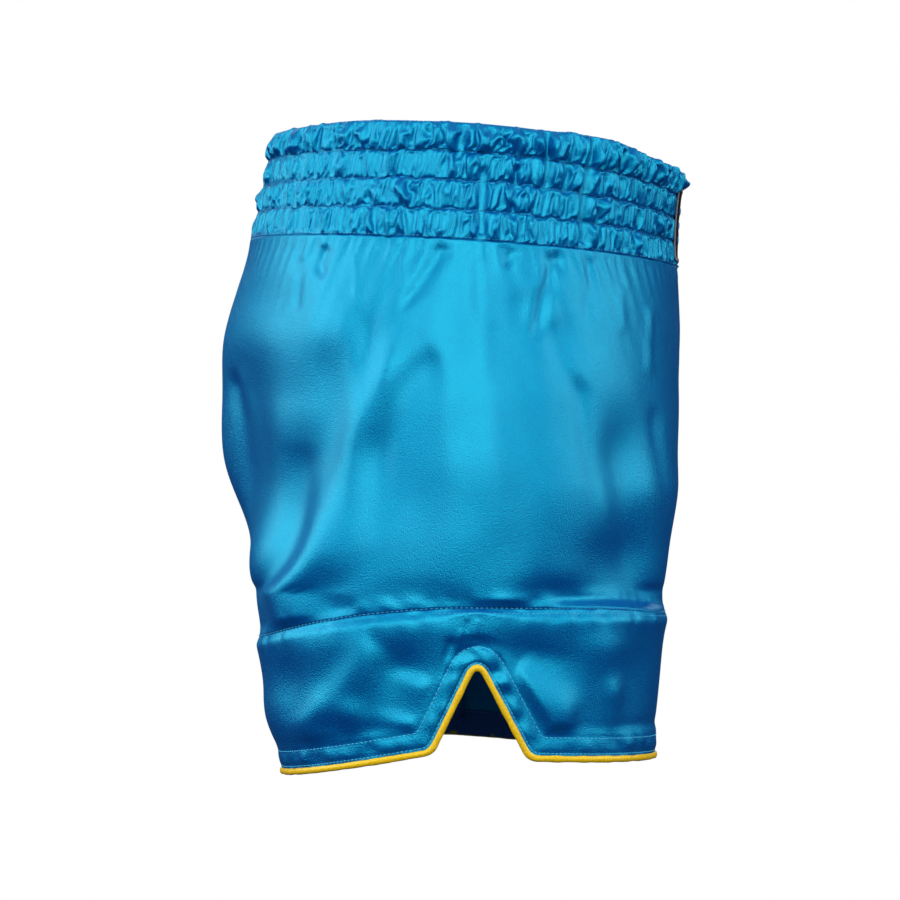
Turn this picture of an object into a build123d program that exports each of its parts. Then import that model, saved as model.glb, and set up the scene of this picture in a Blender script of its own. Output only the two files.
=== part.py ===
"""Thai boxing shorts in satin: gathered elastic waistband, two wrap-round leg panels, notched hems.

Millimetres. +Z is up, -Y is the wearer's front and -X the wearer's right. The origin is the centre
of the waist opening, level with the top edge of the waistband at the back.

Every layer of cloth is cut from one family of shells. leg_solid(lift) fills one leg's surface, moved
outwards by lift, so a layer is the difference of two of them. Each sewing line is a height that
depends on Y only, so a prism along X cuts a layer to its outline.
"""

import math
import os

from build123d import *

# ---- Cloth and the garment's levels ---------------------------------------------------------
CLOTH = 0.6  # thickness of a satin layer
SEAM_GAP = 0.3  # half the gap between the two leg panels, in the middle plane

# height: (half width of the whole garment, half depth, centre in Y, how far the seat pushes back)
LEVELS = {
    20: (152, 123, 0, 0),
    0: (154, 124, 1, 0),
    -66: (162, 127.5, 10.5, 0),
    -92: (169, 131, 12, 2),
    -118: (176, 133, 13, 6),
    -161: (186, 125.5, 8.5, 22),
    -205: (191, 119.5, 5, 37),
    -248: (193.5, 119, 10, 26),
    -287: (195, 117, 11.5, 0),
    -330: (196, 113.5, 11, 0),
    -367: (197, 107.5, 8, 0),
    -400: (197, 103, 7, 0),
}
LEG_CENTRE = 104  # a leg's centre is this far from the middle at the hem
SPREAD_TOP = -80  # the two legs begin to part at this height
SPREAD_SPAN = 222  # and are fully parted this much lower
SEAT_WIDTH = 50  # spread of the seat's bulge in X
SECTION_POINTS = 32

# ---- Sewing lines, as heights at a given Y ---------------------------------------------------
WAIST_FRONT, WAIST_BACK = -124, 126  # ends of the waist opening
TOP_DIP = 25.8  # the top edge is this much lower in front
SEAM_START, SEAM_SPAN = 138, 255  # the waist seam's back end, and its length in Y
SEAM_STITCH = 0.8  # the waist seam's topstitching is this far above it
BAND_SEAM = [(190, -318), (126, -294), (91, -284), (57, -278.5), (12, -275.5), (-32, -276)]
BAND_SEAM += [(-66, -276.5), (-104, -280), (-170, -290)]
HEM_BACK, HEM_FRONT = (300, -409), (-300, -374)  # the hem runs straight towards these
NOTCH = [(27.2, -357.2), (3, -307.5), (-25.1, -361)]  # back foot, apex, front foot
FOOT_RADIUS, APEX_RADIUS = 11, 3.5

# ---- Waistband -------------------------------------------------------------------------------
ROWS = 4
ELASTIC_LIFTS = (-1.4, -3.0)
INNER_CASING_LIFTS = (-3.8, -4.4)
ELASTIC_MARGIN = 1.4  # from a row's stitching to the elastic's edge
CASING_TUCK = 2.0  # the inner casing's top edge is this far under the fold
JOIN_GAP = 0.2  # from a seam's line to the edge of the cloth on either side

# ---- Trims -----------------------------------------------------------------------------------
THREAD_WIDTH, THREAD_LIFTS = 0.8, (0.5, 0.05)
PIPING_WIDTH, PIPING_LIFTS = 3.7, (1.2, -2.4)
FACING_LIFTS, FACING_WIDTH = (-0.9, -1.5), 12.5
FACING_STITCH, EDGE_STITCH = 13.5, 4.8  # from the hem's outer edge to the thread
LABEL_WIDTH, LABEL_HEIGHT, LABEL_TOP = 75, 44, -32
LABEL_LIFTS, BORDER_WIDTH, BORDER_LIFTS = (1.4, 0.6), 2.2, (1.9, 0.6)
BARS, BAR_WIDTH, BAR_HEIGHT, BAR_STEP, BAR_LIFTS = 3, 34, 4, 8.5, (1.8, 1.45)
CARE_X, CARE_Y, CARE_WIDTH, CARE_THICK = 20, 132.8, 26, 0.4
CARE_TOP, CARE_BOTTOM = -66, -104
EYELET_X, EYELET_Z = 22, -33
EYELET_BORE, EYELET_BARREL, EYELET_FLANGE = 2.5, 3.0, 5.5  # radii
EYELET_FLANGE_THICK, EYELET_BARREL_LENGTH = 0.6, 1.3
EYELET_CLEAR = 0.15  # the curved casing touches the flat flange at no point
OVERLOCK_THICK, OVERLOCK_LIFTS = 1.4, (-2.0, -8.0)
INSEAM_Y, INSEAM_TOP, INSEAM_BOTTOM = 10, -274, -350
FAR = 300  # beyond the garment on every side


# ---- The garment's surface -------------------------------------------------------------------
def smooth(t):
    """0 below 0, 1 above 1, and level at both ends."""
    t = min(1.0, max(0.0, t))
    return t * t * (3 - 2 * t)


def at_level(z):
    """(half width, half depth, centre, seat) at a height, by a monotone cubic through LEVELS."""
    heights = sorted(LEVELS)
    upper = next((i for i, h in enumerate(heights) if i and h >= z), len(heights) - 1)
    lower = upper - 1
    step = heights[upper] - heights[lower]
    t = (z - heights[lower]) / step

    def slope(i, k):
        if i in (0, len(heights) - 1):
            return 0.0
        below, here, above = (LEVELS[heights[j]][k] for j in (i - 1, i, i + 1))
        a = (here - below) / (heights[i] - heights[i - 1])
        b = (above - here) / (heights[i + 1] - heights[i])
        return 0.0 if a * b <= 0 else 2 * a * b / (a + b)

    values = []
    for k in range(4):
        a, b = LEVELS[heights[lower]][k], LEVELS[heights[upper]][k]
        rise = slope(lower, k) * step * t * (1 - t) ** 2 - slope(upper, k) * step * t * t * (1 - t)
        values.append(a + (b - a) * smooth(t) + rise)
    return values


def leg_spread(z):
    """How far the right leg's centre is from the middle plane at a height."""
    return LEG_CENTRE * smooth((SPREAD_TOP - z) / SPREAD_SPAN)


def outline_point(z, angle):
    """A point of the right leg's outline. Angle 0 faces outwards and a quarter turn faces back."""
    half_width, half_depth, centre, seat = at_level(z)
    spread = leg_spread(z)
    x = -spread - (half_width - spread) * math.cos(angle)
    y = centre + half_depth * math.sin(angle)
    back = smooth(1.5 * math.sin(angle))
    return Vector(x, y + seat * back * math.exp(-((x / SEAT_WIDTH) ** 2)), z)


def lifted_point(z, angle, lift):
    """The outline's point, moved outwards by lift."""
    along = (outline_point(z, angle + 0.02) - outline_point(z, angle - 0.02)).normalized()
    return outline_point(z, angle) + Vector(-along.Y, along.X, 0) * lift


def section(z, lift):
    """The right leg's outline at a height, moved outwards by lift, as a closed spline."""
    angles = [2 * math.pi * i / SECTION_POINTS for i in range(SECTION_POINTS)]
    return Wire([Edge.make_spline([lifted_point(z, a, lift) for a in angles], periodic=True)])


lofts = {}


def loft_between(z_top, z_bottom, lift):
    """The solid inside the right leg's surface between two levels."""
    key = (z_top, z_bottom, round(lift, 3))
    if key not in lofts:
        heights = [h for h in sorted(LEVELS) if z_bottom <= h <= z_top]
        lofts[key] = Solid.make_loft([section(h, lift) for h in heights])
    return lofts[key]


def leg_solid(lift):
    return loft_between(0, -400, lift)


def waist_solid(lift):
    return loft_between(20, -92, lift)


def cut_layer(make_solid, lifts, *regions):
    """The layer between two lifts, (outer, inner), kept only inside every region."""
    solid = make_solid(lifts[0])
    for region in regions:
        solid = solid & region
    return solid - make_solid(lifts[1])


# ---- Sewing lines and the prisms that cut along them ------------------------------------------
def top_line(y):
    return -TOP_DIP * (max(0.0, WAIST_BACK - y) / (WAIST_BACK - WAIST_FRONT)) ** 3


def waist_seam(y):
    t = (SEAM_START - y) / SEAM_SPAN
    return -62 - 14 * t - 3 * t**4


def row_line(row):
    """The stitching under a row of elastic, as a height at Y. Row 0 is the top edge."""
    return lambda y: top_line(y) + (waist_seam(y) - top_line(y)) * row / ROWS


def edge_along(height, shift=0.0):
    """A sewing line given as a function of Y, as an edge in the YZ plane."""
    return Edge.make_spline([Vector(0, y, height(y) + shift) for y in range(200, -201, -20)])


def edge_through(points, shift=0.0):
    return Edge.make_spline([Vector(0, y, z + shift) for y, z in points])


def prism(face, x_from=-FAR, x_to=FAR):
    """A face in the YZ plane, extruded over a range of X."""
    return Solid.extrude(face, Vector(x_to - x_from, 0, 0)).moved(Location((x_from, 0, 0)))


def strip(upper, lower, x_from=-FAR, x_to=FAR):
    """Everything between two lines in the YZ plane."""
    ends = [Edge.make_line(upper @ t, lower @ t) for t in (0, 1)]
    return prism(Face(Wire([upper, ends[1], lower, ends[0]])), x_from, x_to)


def thread_strip(height):
    half = THREAD_WIDTH / 2
    return strip(edge_along(height, half), edge_along(height, -half))


def block(x, y, z):
    """A box given by its ranges."""
    size = [high - low for low, high in (x, y, z)]
    centre = [(high + low) / 2 for low, high in (x, y, z)]
    return Location(centre) * Box(*size)



def hem_face(inset, notched):
    """The YZ plane above the hem's outer edge, less a border of width inset."""
    turns = NOTCH if notched else [NOTCH[0], NOTCH[2]]
    corners = [HEM_BACK, *turns, HEM_FRONT, (-FAR, 100), (FAR, 100)]
    face = Face(Wire(Polyline([(0, y, z) for y, z in corners], close=True).edges()))
    if notched:
        for (y, z), radius in zip(NOTCH, (FOOT_RADIUS, APEX_RADIUS, FOOT_RADIUS)):
            corner = min(face.vertices(), key=lambda v: math.hypot(v.Y - y, v.Z - z))
            face = face.fillet_2d(radius, [corner])
    if inset:
        face = Face(face.outer_wire().offset_2d(-inset))
    return face


def above_hem(inset):
    """Everything above the right leg's hem, which is notched on the outer side only."""
    outer_side = prism(hem_face(inset, True), -FAR, -LEG_CENTRE)
    return outer_side + prism(hem_face(inset, False), -LEG_CENTRE, FAR)


def along_hem(near, far):
    """A border that follows the hem, between two distances from its outer edge."""
    return above_hem(near) - above_hem(far)


def centred_thread(distance):
    return along_hem(distance - THREAD_WIDTH / 2, distance + THREAD_WIDTH / 2)


# ---- The pieces ------------------------------------------------------------------------------
def eyelet_place(x):
    """A plane on the inner casing's inside face at the front, with its Z axis facing the body."""
    towards_body = Axis((x, -FAR, EYELET_Z), (0, 1, 0))
    hits = waist_solid(INNER_CASING_LIFTS[1]).find_intersection_points(towards_body)
    point, normal = min(hits, key=lambda hit: hit[0].Y)
    inward = normal if normal.Y > 0 else -normal
    return Plane(point, z_dir=inward)


def eyelet(x):
    """A turned eyelet: a flange against the casing and a barrel through it."""
    up = (Align.CENTER, Align.CENTER, Align.MIN)
    down = (Align.CENTER, Align.CENTER, Align.MAX)
    flange = Pos(0, 0, EYELET_CLEAR) * Cylinder(EYELET_FLANGE, EYELET_FLANGE_THICK, align=up)
    barrel = Pos(0, 0, EYELET_CLEAR) * Cylinder(EYELET_BARREL, EYELET_BARREL_LENGTH, align=down)
    return eyelet_place(x) * (flange + barrel - Cylinder(EYELET_BORE, 10))


def waistband():
    """The gathered band: two casings, four elastics between them, and the stitching."""
    band = strip(edge_along(top_line), edge_along(waist_seam, JOIN_GAP))
    lining = strip(edge_along(top_line, -CASING_TUCK), edge_along(waist_seam, JOIN_GAP))
    seam_thread = thread_strip(lambda y: waist_seam(y) + SEAM_STITCH)
    inner = cut_layer(waist_solid, INNER_CASING_LIFTS, lining)
    for x in (-EYELET_X, EYELET_X):
        inner -= eyelet_place(x) * Cylinder(EYELET_BARREL + 0.1, 8)
    nodes = {
        "waistband_outer_casing": cut_layer(waist_solid, (0, -CLOTH), band),
        "waistband_inner_casing": inner,
        "waist_seam_stitch": cut_layer(waist_solid, THREAD_LIFTS, seam_thread),
        "drawcord_eyelet_right": eyelet(-EYELET_X),
        "drawcord_eyelet_left": eyelet(EYELET_X),
    }
    for row in range(ROWS):
        upper = edge_along(row_line(row), -ELASTIC_MARGIN)
        channel = strip(upper, edge_along(row_line(row + 1), ELASTIC_MARGIN))
        nodes[f"elastic_row_{row + 1}"] = cut_layer(waist_solid, ELASTIC_LIFTS, channel)
    for row in range(1, ROWS):
        thread = thread_strip(row_line(row))
        nodes[f"channel_stitch_{row}"] = cut_layer(waist_solid, THREAD_LIFTS, thread)
    return nodes


def labels():
    """The woven front label, with a generic motif of bars, and a blank care label at the back."""
    half = LABEL_WIDTH / 2
    bottom = LABEL_TOP - LABEL_HEIGHT
    whole = block((-half, half), (-FAR, 0), (bottom, LABEL_TOP))
    inside = (half - BORDER_WIDTH, bottom + BORDER_WIDTH, LABEL_TOP - BORDER_WIDTH)
    field = block((-inside[0], inside[0]), (-FAR, 0), inside[1:])
    middle = (bottom + LABEL_TOP) / 2
    bars = None
    for i in range(BARS):
        z = middle + BAR_STEP * (i - (BARS - 1) / 2)
        bar = block((-BAR_WIDTH / 2, BAR_WIDTH / 2), (-FAR, 0), (z - BAR_HEIGHT / 2, z + BAR_HEIGHT / 2))
        bar = cut_layer(waist_solid, BAR_LIFTS, bar)
        bars = bar if bars is None else bars + bar
    care_x = (CARE_X - CARE_WIDTH / 2, CARE_X + CARE_WIDTH / 2)
    return {
        "front_label_patch": cut_layer(waist_solid, LABEL_LIFTS, field),
        "front_label_border": cut_layer(waist_solid, BORDER_LIFTS, whole - field),
        "front_label_motif": bars,
        "care_label": block(care_x, (CARE_Y, CARE_Y + CARE_THICK), (CARE_BOTTOM, CARE_TOP)),
    }


def right_leg():
    """The right leg's panel, hem band, facing, piping, inseam and stitching."""
    right = block((-FAR, -SEAM_GAP), (-FAR, FAR), (-FAR * 2, FAR))
    waist = edge_along(waist_seam, -JOIN_GAP)
    panel = strip(waist, edge_through(BAND_SEAM, JOIN_GAP))
    band = strip(edge_through(BAND_SEAM, -JOIN_GAP), edge_along(lambda y: -399))
    seam = strip(edge_through(BAND_SEAM, THREAD_WIDTH / 2), edge_through(BAND_SEAM, -THREAD_WIDTH / 2))
    trim = PIPING_WIDTH + JOIN_GAP
    across = block((-LEG_CENTRE, 0), (INSEAM_Y - OVERLOCK_THICK / 2, INSEAM_Y + OVERLOCK_THICK / 2),
                   (INSEAM_BOTTOM, INSEAM_TOP))
    return {
        "body_panel": cut_layer(leg_solid, (0, -CLOTH), right, panel),
        "hem_band": cut_layer(leg_solid, (0, -CLOTH), band, above_hem(trim)),
        "hem_facing": cut_layer(leg_solid, FACING_LIFTS, along_hem(trim, trim + FACING_WIDTH)),
        "hem_piping": cut_layer(leg_solid, PIPING_LIFTS, along_hem(0, PIPING_WIDTH)),
        "inseam_overlock": cut_layer(leg_solid, OVERLOCK_LIFTS, across),
        "band_seam_stitch": cut_layer(leg_solid, THREAD_LIFTS, seam),
        "facing_stitch": cut_layer(leg_solid, THREAD_LIFTS, centred_thread(FACING_STITCH)),
        "hem_edge_stitch": cut_layer(leg_solid, THREAD_LIFTS, centred_thread(EDGE_STITCH)),
    }


def centre_seam():
    """The overlocked seam inside, from the front of the waist under the crotch to the back."""
    half = block((-OVERLOCK_THICK / 2, 0), (-FAR, FAR), (-FAR, 0))
    below_waist = strip(edge_along(waist_seam, -2), edge_along(lambda y: -FAR))
    right = cut_layer(leg_solid, OVERLOCK_LIFTS, half, below_waist)
    return right + mirror(right, about=Plane.YZ)


nodes = {**waistband(), **labels(), "centre_seam_overlock": centre_seam()}
for name, solid in right_leg().items():
    nodes[f"right_{name}"] = solid
    nodes[f"left_{name}"] = mirror(solid, about=Plane.YZ)

os.makedirs("parts", exist_ok=True)
for name, solid in nodes.items():
    export_step(solid, f"parts/{name}.step")
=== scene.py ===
"""Looks for the satin boxing shorts: gathered waistband, draped legs, piped and notched hems.

The garment's surface and sewing lines are the ones in part.py, worked in millimetres and turned
into metres when a mesh is made. A gathered piece is laid out flat as (along, out, up), squeezed
there by a cloth simulation, and then wrapped round the garment's surface.
"""

import functools
import math

import bmesh
import bpy
import numpy as np
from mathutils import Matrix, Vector
from mathutils.bvhtree import BVHTree


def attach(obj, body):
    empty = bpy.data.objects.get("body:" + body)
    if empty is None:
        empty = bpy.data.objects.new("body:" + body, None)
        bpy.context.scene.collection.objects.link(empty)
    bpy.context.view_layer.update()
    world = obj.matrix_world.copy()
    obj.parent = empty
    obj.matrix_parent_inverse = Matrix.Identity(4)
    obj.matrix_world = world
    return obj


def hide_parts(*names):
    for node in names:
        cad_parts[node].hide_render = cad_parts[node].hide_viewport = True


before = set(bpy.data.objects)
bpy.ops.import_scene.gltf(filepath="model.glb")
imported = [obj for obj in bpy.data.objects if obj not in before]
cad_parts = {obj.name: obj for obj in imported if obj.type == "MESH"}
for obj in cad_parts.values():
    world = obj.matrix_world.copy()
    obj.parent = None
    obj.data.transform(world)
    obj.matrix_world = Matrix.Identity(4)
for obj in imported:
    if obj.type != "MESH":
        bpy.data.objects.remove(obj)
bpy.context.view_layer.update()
MM = 0.001

# ---- The garment's surface, as in part.py ----
LEVELS = np.array([  # (Z, half width, half depth, the middle's Y, how far the seat stands out)
    (-400, 197, 103, 7, 0), (-367, 197, 107.5, 8, 0), (-330, 196, 113.5, 11, 0),
    (-287, 195, 117, 11.5, 0), (-248, 193.5, 119, 10, 26), (-205, 191, 119.5, 5, 37),
    (-161, 186, 125.5, 8.5, 22), (-118, 176, 133, 13, 6), (-92, 169, 131, 12, 2),
    (-66, 162, 127.5, 10.5, 0), (0, 154, 124, 1, 0), (20, 152, 123, 0, 0),
], float)
LEG_CENTRE, SPREAD_TOP, SPREAD_SPAN, SEAT_WIDTH = 104, -80, 222, 50
WAIST_FRONT, WAIST_BACK, TOP_DIP = -124, 126, 25.8
SEAM_START, SEAM_SPAN = 138, 255
BAND_SEAM = [(190, -318), (126, -294), (91, -284), (57, -278.5), (12, -275.5), (-32, -276),
             (-66, -276.5), (-104, -280), (-170, -290)]
HEM_BACK, HEM_FRONT = (300, -409), (-300, -374)
NOTCH = [(27.2, -357.2), (3, -307.5), (-25.1, -361)]
FOOT_RADIUS, APEX_RADIUS = 11, 3.5
PIPING_WIDTH = 3.7
ROWS = 4  # of elastic in the waistband


def smooth(t):
    t = np.clip(t, 0, 1)
    return t * t * (3 - 2 * t)


def bell(away, width, power=2):
    """1 where away is 0, fading on both sides to about a third at width."""
    return np.exp(-((away / width) ** power))


def curve_through(xs, ys):
    """A smooth monotone curve through points, as a function that takes arrays."""
    xs, ys = np.asarray(xs, float), np.asarray(ys, float)
    rises = np.diff(ys) / np.diff(xs)
    slopes = np.zeros(len(xs))
    product = rises[:-1] * rises[1:]
    total = rises[:-1] + rises[1:]
    slopes[1:-1] = np.where(product > 0, 2 * product / np.where(total == 0, 1, total), 0)
    slopes[0], slopes[-1] = rises[0], rises[-1]

    def curve(x):
        x = np.clip(x, xs[0], xs[-1])
        i = np.clip(np.searchsorted(xs, x) - 1, 0, len(xs) - 2)
        step = xs[i + 1] - xs[i]
        t = (x - xs[i]) / step
        bend = slopes[i] * step * t * (1 - t) ** 2 - slopes[i + 1] * step * t * t * (1 - t)
        return ys[i] + (ys[i + 1] - ys[i]) * smooth(t) + bend

    return curve


half_width_at, half_depth_at, centre_at, seat_at = [
    curve_through(LEVELS[:, 0], LEVELS[:, k]) for k in (1, 2, 3, 4)]


def outline(z, angle):
    """X and Y of the right leg's outline. Angle 0 faces outwards and a quarter turn faces back."""
    spread = LEG_CENTRE * smooth((SPREAD_TOP - z) / SPREAD_SPAN)
    x = -spread - (half_width_at(z) - spread) * np.cos(angle)
    y = centre_at(z) + half_depth_at(z) * np.sin(angle)
    back = smooth(1.5 * np.sin(angle))
    return x, y + seat_at(z) * back * bell(x, SEAT_WIDTH)


def on_surface(z, angle, out=0.0):
    """Points on the right leg's surface, moved outwards by out, in millimetres."""
    x, y = outline(z, angle)
    ahead, behind = outline(z, angle + 0.01), outline(z, angle - 0.01)
    dx, dy = ahead[0] - behind[0], ahead[1] - behind[1]
    length = np.hypot(dx, dy)
    return np.stack([x - dy / length * out, y + dx / length * out, z + 0 * x], axis=-1)


def edge_angle(z):
    """The angle at which a leg's outline meets the middle plane, or half a turn below the crotch."""
    spread = LEG_CENTRE * smooth((SPREAD_TOP - z) / SPREAD_SPAN)
    return np.arccos(np.clip(-spread / (half_width_at(z) - spread), -1, 1))


TABLE_Z = np.linspace(-400, 20, 211)
TABLE_F = np.linspace(0, 1, 241)


def crotch_height():
    """The highest Z at which the two legs' outlines no longer meet."""
    heights = np.arange(-200, -300, -0.25)
    return float(heights[np.argmax(edge_angle(heights) > math.pi - 0.001)])


CROTCH_Z = crotch_height()


def even_angles():
    """For each height, the angles that divide a leg's outline, front edge to back edge, evenly."""
    table, lengths = [], []
    for z in TABLE_Z:
        a = np.linspace(-1, 1, 1201) * edge_angle(np.array(z))
        x, y = outline(np.full_like(a, z), a)
        along = np.concatenate([[0], np.cumsum(np.hypot(np.diff(x), np.diff(y)))])
        table.append(np.interp(TABLE_F, along / along[-1], a))
        lengths.append(along[-1])
    return np.array(table), np.array(lengths)


ANGLES, LENGTHS = even_angles()


def angle_at(z, f):
    """The angle at a share f of the way round, from the front edge to the back edge."""
    row = np.clip((z - TABLE_Z[0]) / (TABLE_Z[1] - TABLE_Z[0]), 0, len(TABLE_Z) - 1.001)
    col = np.clip(f, 0, 1) * (len(TABLE_F) - 1.001)
    i, j = row.astype(int), col.astype(int)
    u, v = row - i, col - j
    low = ANGLES[i, j] * (1 - v) + ANGLES[i, j + 1] * v
    high = ANGLES[i + 1, j] * (1 - v) + ANGLES[i + 1, j + 1] * v
    return low * (1 - u) + high * u


# ---- Sewing lines ----
def top_line(y):
    return -TOP_DIP * (np.maximum(0, WAIST_BACK - y) / (WAIST_BACK - WAIST_FRONT)) ** 3


def waist_seam(y):
    t = (SEAM_START - y) / SEAM_SPAN
    return -62 - 14 * t - 3 * t**4


band_seam = curve_through(*zip(*sorted(BAND_SEAM)))


def rounded_hem(notched):
    """The hem's outer edge in the YZ plane, from front to back, with its corners rounded."""
    turns = NOTCH[::-1] if notched else [NOTCH[2], NOTCH[0]]
    radii = [FOOT_RADIUS, APEX_RADIUS, FOOT_RADIUS] if notched else [0, 0]
    points = [np.array(HEM_FRONT, float)]
    corners = [np.array(p, float) for p in [HEM_FRONT, *turns, HEM_BACK]]
    for before, corner, after, radius in zip(corners, corners[1:], corners[2:], radii):
        a, b = (before - corner), (after - corner)
        a, b = a / np.linalg.norm(a), b / np.linalg.norm(b)
        half = math.acos(float(a @ b)) / 2
        reach = radius / math.tan(half)
        for t in np.linspace(0, 1, 13 if radius else 1):
            start, end = corner + a * reach, corner + b * reach
            points.append((1 - t) ** 2 * start + 2 * t * (1 - t) * corner + t * t * end)
    points.append(np.array(HEM_BACK, float))
    dense = [p + (q - p) * np.linspace(0, 1, 2 + int(np.linalg.norm(q - p) / 0.3))[:, None]
             for p, q in zip(points, points[1:])]
    return np.concatenate(dense)


HEMS = {notched: rounded_hem(notched) for notched in (True, False)}
HEM_GRID = np.linspace(-140, 160, 1501)


@functools.lru_cache(maxsize=None)
def hem_curve(inset, notched):
    """Heights, over HEM_GRID, of the line that follows the hem at a distance inset above it."""
    path = HEMS[notched]
    reach = inset**2 - (HEM_GRID[:, None] - path[None, :, 0]) ** 2
    rise = np.where(reach > 0, path[None, :, 1] + np.sqrt(np.maximum(reach, 0)), -1e9)
    return rise.max(axis=1)


def hem_height(y, inset, notched):
    return np.interp(y, HEM_GRID, hem_curve(inset, notched))


def hem_at(y, angle, inset):
    """Heights of the line that follows a leg's hem, which is notched on the outer side only."""
    return np.where(np.cos(angle) > 0, hem_height(y, inset, True), hem_height(y, inset, False))


def hem_distance(y, z, notched):
    """How far points are from the hem's outer edge, in the YZ plane."""
    path = HEMS[notched]
    flat = np.stack([y.ravel(), z.ravel()], axis=1)
    found = [np.hypot(*(block[:, None] - path[None]).transpose(2, 0, 1)).min(axis=1)
             for block in np.array_split(flat, 40)]
    return np.concatenate(found).reshape(y.shape)


# ---- Making meshes ----
def make_mesh(name, points, faces, look):
    """A smooth-shaded mesh object from points in millimetres."""
    mesh = bpy.data.meshes.new(name)
    mesh.from_pydata((np.asarray(points).reshape(-1, 3) * MM).tolist(), [], faces)
    mesh.validate()
    mesh.polygons.foreach_set("use_smooth", [True] * len(mesh.polygons))
    mesh.materials.append(look)
    piece = bpy.data.objects.new(name, mesh)
    bpy.context.scene.collection.objects.link(piece)
    return piece


def grid_faces(rows, columns, closed=False, flip=False, start=0):
    """Quads of a grid of points stored row by row."""
    r = np.arange(rows - 1)[:, None]
    c = np.arange(columns if closed else columns - 1)[None, :]
    nxt = (c + 1) % columns
    a, b = r * columns + c, r * columns + nxt
    corners = [a, b, b + columns, a + columns]
    if flip:
        corners = corners[::-1]
    return (np.stack(corners, axis=-1).reshape(-1, 4) + start).tolist()


def apply_modifiers(piece):
    graph = bpy.context.evaluated_depsgraph_get()
    done = bpy.data.meshes.new_from_object(piece.evaluated_get(graph))
    piece.modifiers.clear()
    piece.data = done
    return piece


def subdivided(piece):
    piece.modifiers.new("smooth", "SUBSURF").levels = 1
    return apply_modifiers(piece)


def thickened(piece, thickness):
    """Gives a sheet its thickness, inwards from its outer face."""
    solid = piece.modifiers.new("thickness", "SOLIDIFY")
    solid.thickness = thickness * MM
    solid.offset = -1
    solid.use_even_offset = False
    return apply_modifiers(piece)


def sided(points, side):
    """The right leg's points as they are for side -1, or mirrored to the left leg for side 1."""
    return points if side < 0 else points * np.array([-1, 1, 1])


def grid_mesh(name, points, look, side=-1, closed=False):
    """A mesh of a grid of points. A closed grid's last column is its first again, and is dropped."""
    points = sided(points[:, :-1] if closed else points, side)
    return make_mesh(name, points, grid_faces(*points.shape[:2], closed=closed, flip=side > 0), look)


def tube_points(path, across, up, sides):
    """Rings of an elliptical tube round a path. across and up are half axes given as vectors."""
    turn = np.linspace(0, 2 * math.pi, sides, endpoint=False)
    rings = path[:, None] + across[:, None] * np.cos(turn)[None, :, None]
    return rings + up[:, None] * np.sin(turn)[None, :, None]


def resample(path, step, closed=False):
    """Points evenly spaced along a path, about step apart."""
    if closed:
        path = np.concatenate([path, path[:1]])
    lengths = np.concatenate([[0], np.cumsum(np.linalg.norm(np.diff(path, axis=0), axis=1))])
    count = max(2, round(lengths[-1] / step))
    at = np.linspace(0, lengths[-1], count + 1)
    at = at[:-1] if closed else at
    return np.stack([np.interp(at, lengths, path[:, k]) for k in range(3)], axis=1)


def unit(v):
    return v / np.maximum(np.linalg.norm(v, axis=-1, keepdims=True), 1e-9)


# ---- Smooth random patterns ----
def lumps(seed, x, y, scale_x, scale_y, count=36):
    """A smooth random pattern of about unit height, with features of the given sizes."""
    rng = np.random.default_rng(seed)
    total = np.zeros(np.broadcast(x, y).shape)
    for _ in range(count):
        angle, phase = rng.uniform(0, 2 * math.pi, 2)
        size = rng.uniform(0.6, 1.4)
        wave_x = math.cos(angle) / (scale_x * size)
        wave_y = math.sin(angle) / (scale_y * size)
        total += np.cos(2 * math.pi * (x * wave_x + y * wave_y) / 2 + phase)
    return total / math.sqrt(count / 2)


def dent(y, z, at, size, turn=0.0):
    """A soft round hollow: 1 at its middle and 0 outside it. size is its half width and height."""
    c, s = math.cos(math.radians(turn)), math.sin(math.radians(turn))
    u = ((y - at[0]) * c + (z - at[1]) * s) / size[0]
    v = (-(y - at[0]) * s + (z - at[1]) * c) / size[1]
    return np.exp(-(u * u + v * v))


def fold(y, z, line, widths):
    """A fold along a line of points: 1 on the line, fading to 0 at its ends and to each side."""
    line = np.array(line, float)
    seg = np.diff(line, axis=0)
    lengths = np.linalg.norm(seg, axis=1)
    starts = np.concatenate([[0], np.cumsum(lengths)])
    best = np.full(y.shape, 1e9)
    share = np.zeros(y.shape)
    for p, d, length, start in zip(line, seg, lengths, starts):
        t = np.clip(((y - p[0]) * d[0] + (z - p[1]) * d[1]) / length**2, 0, 1)
        away = np.hypot(y - p[0] - d[0] * t, z - p[1] - d[1] * t)
        closer = away < best
        best = np.where(closer, away, best)
        share = np.where(closer, (start + t * length) / starts[-1], share)
    width = np.interp(share, np.linspace(0, 1, len(widths)), widths)
    ends = smooth(share / 0.12) * smooth((1 - share) / 0.3)
    return bell(best, width) * ends


# ---- Gathering by cloth simulation ----
FRAMES, SQUEEZE_FRAMES = 30, 21  # of the whole simulation, and of the squeeze it begins with
CLOTH_GAP = 0.0003  # metres
WALL_MARGIN = 60  # how far the wall behind the cloth reaches past it

bare = bpy.data.materials.new("bare")


def wall_behind(name, cloth, out):
    """A wall for cloth to rest against, standing out from the cloth's plane by out."""
    low = cloth.reshape(-1, 3).min(0) - WALL_MARGIN
    high = cloth.reshape(-1, 3).max(0) + WALL_MARGIN
    corners = [(low[0], out, low[2]), (high[0], out, low[2]),
               (high[0], out, high[2]), (low[0], out, high[2])]
    wall = make_mesh(name + "_wall", corners, [(3, 2, 1, 0)], bare)
    wall.modifiers.new("collision", "COLLISION")
    wall.collision.thickness_outer = CLOTH_GAP
    return wall


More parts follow.
